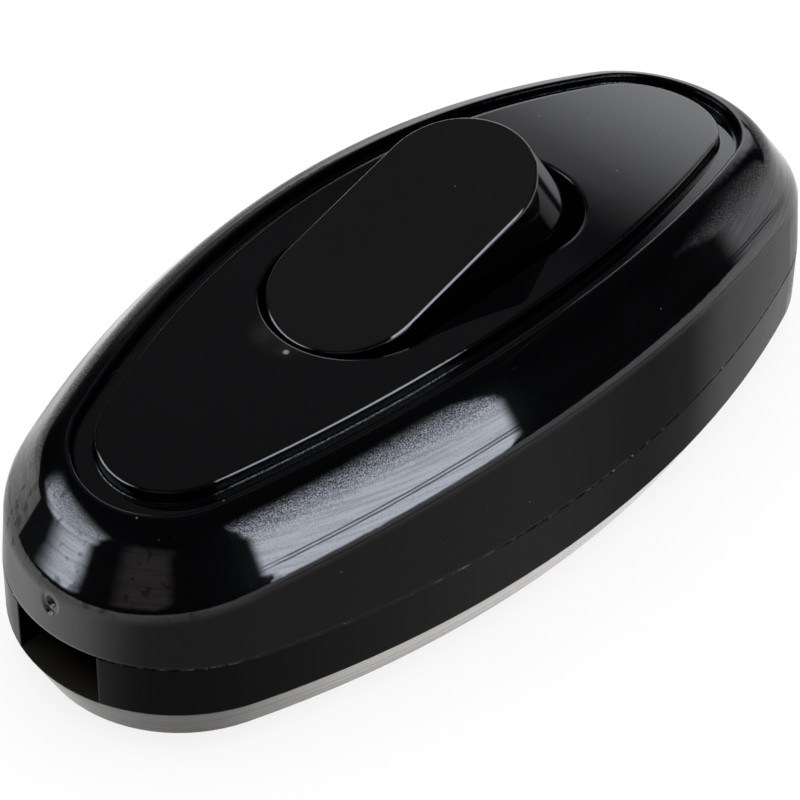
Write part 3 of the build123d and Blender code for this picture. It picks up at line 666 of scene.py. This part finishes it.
# %% Metals
def metal(name, clean, tarnished, rough, grain, cloud):
    """A metal with tarnish clouds, rolled lines and bright rubbed edges."""
    material, tree, shader = new_finish(name, Metallic=1.0)
    low, high = rough
    stain = use_group(tree, haze, scale=cloud, low=0.0, high=1.0)
    worn = use_group(tree, edge_wear_and_highlight, reach=0.00015, patchiness=900.0)
    colour = tint(tree, stain, clean, tarnished)
    bright = tuple(min(1.0, 1.15 * channel) for channel in clean)
    tree.links.new(tint(tree, worn, colour, bright), shader.inputs["Base Color"])
    rolled = use_group(tree, streaks, along=grain[0], across=grain[1])
    span = calc(tree, "MULTIPLY_ADD", stain, high - low, low)
    tree.links.new(calc(tree, "MULTIPLY_ADD", rolled, 0.1, span), shader.inputs["Roughness"])
    lines = use_group(tree, scratches, scale=1500.0, width=0.01, share=0.6)
    bump(tree, shader, calc(tree, "MULTIPLY_ADD", lines, -0.5, rolled), 0.15, 0.03 * MM)
    return material


brass = metal("brass", (0.72, 0.5, 0.2), (0.42, 0.27, 0.1),
              rough=(0.2, 0.38), grain=(60.0, 5200.0), cloud=260.0)
terminal_brass = metal("terminal_brass", (0.66, 0.47, 0.2), (0.45, 0.31, 0.13),
                       rough=(0.26, 0.42), grain=(900.0, 3800.0), cloud=420.0)
silver = metal("silver", (0.82, 0.81, 0.78), (0.5, 0.47, 0.42),
               rough=(0.18, 0.4), grain=(300.0, 4200.0), cloud=900.0)
screw_steel = metal("screw_steel", (0.6, 0.61, 0.62), (0.42, 0.42, 0.4),
                    rough=(0.24, 0.4), grain=(700.0, 3200.0), cloud=700.0)
spring_steel = metal("spring_steel", (0.56, 0.56, 0.57), (0.36, 0.34, 0.32),
                     rough=(0.16, 0.3), grain=(1200.0, 6000.0), cloud=800.0)
print("finishes:", brass.name, terminal_brass.name, silver.name, screw_steel.name, spring_steel.name)

# %% [markdown]
# ## Giving each piece its finish
#
# The record that comes with the pieces names a finish for each one, and the pieces arrive wearing plain
# materials with those same names. So the finishes made above are looked up here by the record's name, not
# by Blender's, which gave them a number at the end. A piece without a finish would stop the script.

# %% Hand out the finishes
finishes = {
    "cover_plastic": cover_plastic,
    "base_plastic": base_plastic,
    "rocker_plastic": rocker_plastic,
    "clamp_plastic": clamp_plastic,
    "plunger_plastic": plunger_plastic,
    "brass": brass,
    "terminal_brass": terminal_brass,
    "silver": silver,
    "screw_steel": screw_steel,
    "spring_steel": spring_steel,
}
finish_of = {row["node"]: finishes[row["material_slot"]] for row in frame["record"]["subparts"]}
for name, piece in nodes.items():
    piece.data.materials.clear()
    piece.data.materials.append(finish_of[name])
print("finished pieces:", len(finish_of))

# %% [markdown]
# ## The plunger's spring
#
# The plunger slides up into the rocker against a coil spring. The solid spring would stay as long as it is
# while the plunger went through it. So a copy stands in for it, attached to the rocker. Its mesh brings the
# finish along.

# %% Plunger spring
still_spring = nodes["plunger_spring"]
spring_coil = bpy.data.objects.new("spring_coil", still_spring.data.copy())
scene.collection.objects.link(spring_coil)
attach(spring_coil, "rocker_body")
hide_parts("plunger_spring")
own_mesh(spring_coil)

# %% [markdown]
# ## The table
#
# The switch lies on a white table. A white that is only painted would need strong lamps to look white, so
# most of it shines by itself for the rays that see it directly or in a reflection. The rest is lit, and keeps
# the soft shadow under the switch.

# %% Table
table_size = 2.0
paper_white = (0.95, 0.95, 0.95, 1.0)
glow_share = 0.85
table_mesh = bpy.data.meshes.new("table")
corners = [(x * table_size, y * table_size, 0) for x, y in ((-1, -1), (1, -1), (1, 1), (-1, 1))]
table_mesh.from_pydata(corners, [], [(0, 1, 2, 3)])
table = bpy.data.objects.new("table", table_mesh)
scene.collection.objects.link(table)


def white_table():
    """Lit white paper with most of its white given to seen and mirrored rays."""
    material, tree, shader = new_finish("white_table", Roughness=0.9, Specular_IOR_Level=0.0)
    shader.inputs["Base Color"].default_value = paper_white
    ray = add_node(tree, "ShaderNodeLightPath").outputs
    seen = calc(tree, "MAXIMUM", ray["Is Camera Ray"], ray["Is Glossy Ray"])
    seen = calc(tree, "MAXIMUM", seen, ray["Is Transmission Ray"])
    glow = add_node(tree, "ShaderNodeEmission", {"Color": (1, 1, 1, 1), "Strength": 1.0})
    mix = add_node(tree, "ShaderNodeMixShader", {0: calc(tree, "MULTIPLY", seen, glow_share)})
    tree.links.new(shader.outputs["BSDF"], mix.inputs[1])
    tree.links.new(glow.outputs["Emission"], mix.inputs[2])
    tree.links.new(mix.outputs["Shader"], tree.nodes["Material Output"].inputs["Surface"])
    return material


table_mesh.materials.append(white_table())
print("table:", 2 * table_size, "m square")

# %% [markdown]
# ## The light
#
# On glossy black the light is the picture: each pale shape on the switch is a panel mirrored in it. Area
# lamps would do, but their edges are all alike. So the panels are cards that shine, and a group makes them
# clear towards each edge, softly or sharply. A clear edge also lets a card behind show through.

# %% Panel group
panel_fade, given, result = new_group(
    "panel_fade", {"Left": 0.05, "Right": 0.05, "Bottom": 0.05, "Top": 0.05}, ["Mask"])
part = place_of(panel_fade)
fades = []
for axis, sign, socket in (("X", 1, "Left"), ("X", -1, "Right"), ("Y", 1, "Bottom"), ("Y", -1, "Top")):
    inside = calc(panel_fade, "MULTIPLY_ADD", part[axis], float(sign), 1.0)
    fades.append(remap(panel_fade, inside, 0.0, given[socket]))
sides = calc(panel_fade, "MULTIPLY", fades[0], fades[1])
ends = calc(panel_fade, "MULTIPLY", fades[2], fades[3])
panel_fade.links.new(calc(panel_fade, "MULTIPLY", sides, ends), result["Mask"])
print("group:", panel_fade.name)

# %% [markdown]
# ## A card
#
# A card is placed by its direction from the switch, so that it can be moved like a lamp on a stand. It is
# seen by mirrored rays only, not by the camera, and it doesn't light matt surfaces. That lets it be as bright
# as a real window while the colours of the switch stay as they are written.

# %% Card helper
def light_card(name, azimuth, elevation, distance, width, height, level, colour, **soft):
    """A shining card that faces the switch; azimuth turns from -Y towards +X, in degrees."""
    turn, rise = math.radians(azimuth), math.radians(elevation)
    out = Vector((math.sin(turn) * math.cos(rise), -math.cos(turn) * math.cos(rise), math.sin(rise)))
    across = Vector((0, 0, 1)).cross(out).normalized()
    mesh = bpy.data.meshes.new(name)
    mesh.from_pydata([(-1, -1, 0), (1, -1, 0), (1, 1, 0), (-1, 1, 0)], [], [(0, 1, 2, 3)])
    card = bpy.data.objects.new(name, mesh)
    axes = Matrix((across * width / 2, out.cross(across) * height / 2, out)).transposed().to_4x4()
    card.matrix_world = Matrix.Translation(out * distance) @ axes
    card.visible_camera = False
    card.visible_shadow = False
    card.visible_diffuse = False
    scene.collection.objects.link(card)
    material, tree, shader = new_finish(name, Roughness=1.0, Specular_IOR_Level=0.0, Emission_Strength=level)
    shader.inputs["Base Color"].default_value = (0.0, 0.0, 0.0, 1.0)
    shader.inputs["Emission Color"].default_value = (*colour, 1.0)
    tree.links.new(use_group(tree, panel_fade, **soft), shader.inputs["Alpha"])
    mesh.materials.append(material)
    return card


print("card helper ready")

# %% [markdown]
# ## The cards
#
# A window in front makes the long pale stripe on the near shoulder, and one on the left the patch on the near
# end. Bright walls behind grey the far end's top and its shoulder. The room and the ceiling are faint, and
# keep the rest from going quite black.

# %% Cards
window_colour = (0.9, 0.96, 1.1)
wall_colour = (0.97, 0.98, 1.02)
room_colour = (1.06, 0.96, 1.02)
light_card("front_window", azimuth=7.3, elevation=33.0, distance=0.6,
           width=0.395, height=0.8, level=8.0, colour=window_colour,
           left=0.1, right=0.12, bottom=0.24, top=0.6)
light_card("left_window", azimuth=-135.0, elevation=25.0, distance=0.6,
           width=0.6, height=0.4, level=6.6, colour=window_colour,
           left=0.5, right=0.3, bottom=0.4, top=0.7)
light_card("far_wall", azimuth=118.0, elevation=18.5, distance=1.2,
           width=1.1, height=0.66, level=1.5, colour=wall_colour,
           left=0.3, right=0.35, bottom=0.2, top=1.0)
light_card("side_wall", azimuth=77.0, elevation=13.0, distance=0.9,
           width=0.37, height=0.5, level=0.95, colour=wall_colour,
           left=0.4, right=0.4, bottom=0.2, top=0.9)
light_card("back_wall", azimuth=152.0, elevation=9.0, distance=1.1,
           width=0.5, height=0.3, level=0.22, colour=wall_colour,
           left=0.5, right=0.4, bottom=0.1, top=0.7)
light_card("room", azimuth=-76.0, elevation=27.0, distance=0.9,
           width=0.56, height=0.54, level=0.3, colour=room_colour,
           left=0.6, right=0.4, bottom=0.6, top=0.6)
light_card("ceiling", azimuth=150.0, elevation=60.0, distance=1.0,
           width=1.1, height=1.1, level=0.085, colour=wall_colour,
           left=0.5, right=0.5, bottom=0.5, top=0.5)
print("cards: two windows, three walls, the room and the ceiling")

# %% [markdown]
# ## Soft light from above
#
# A large soft lamp overhead lights the table and every matt surface, at a level that shows a colour about as
# it is written. The glossy top would mirror it as a pale sheet, so it is hidden from mirrored rays, as a flag
# would hide it in a studio.

# %% Overhead lamp and world
lamp_side = 1.6
lamp_power = 23.5
lamp_height = 1.2
room_glow = 0.02
lamp_data = bpy.data.lights.new("overhead", "AREA")
lamp_data.shape = "SQUARE"
lamp_data.size = lamp_side
lamp_data.energy = lamp_power
lamp = bpy.data.objects.new("overhead", lamp_data)
lamp.location = (0.0, 0.0, lamp_height)
lamp.visible_glossy = False
scene.collection.objects.link(lamp)
world = bpy.data.worlds.new("dim_room")
scene.world = world
world.use_nodes = True
sky = world.node_tree.nodes["Background"]
sky.inputs["Color"].default_value = (0.9, 0.95, 1.0, 1.0)
sky.inputs["Strength"].default_value = room_glow
print("overhead lamp:", lamp_data.energy, "W")

# %% [markdown]
# ## Finishing
#
# The colours are shown plainly, with no film look over them.

# %% Finish
scene.view_settings.view_transform = "Standard"
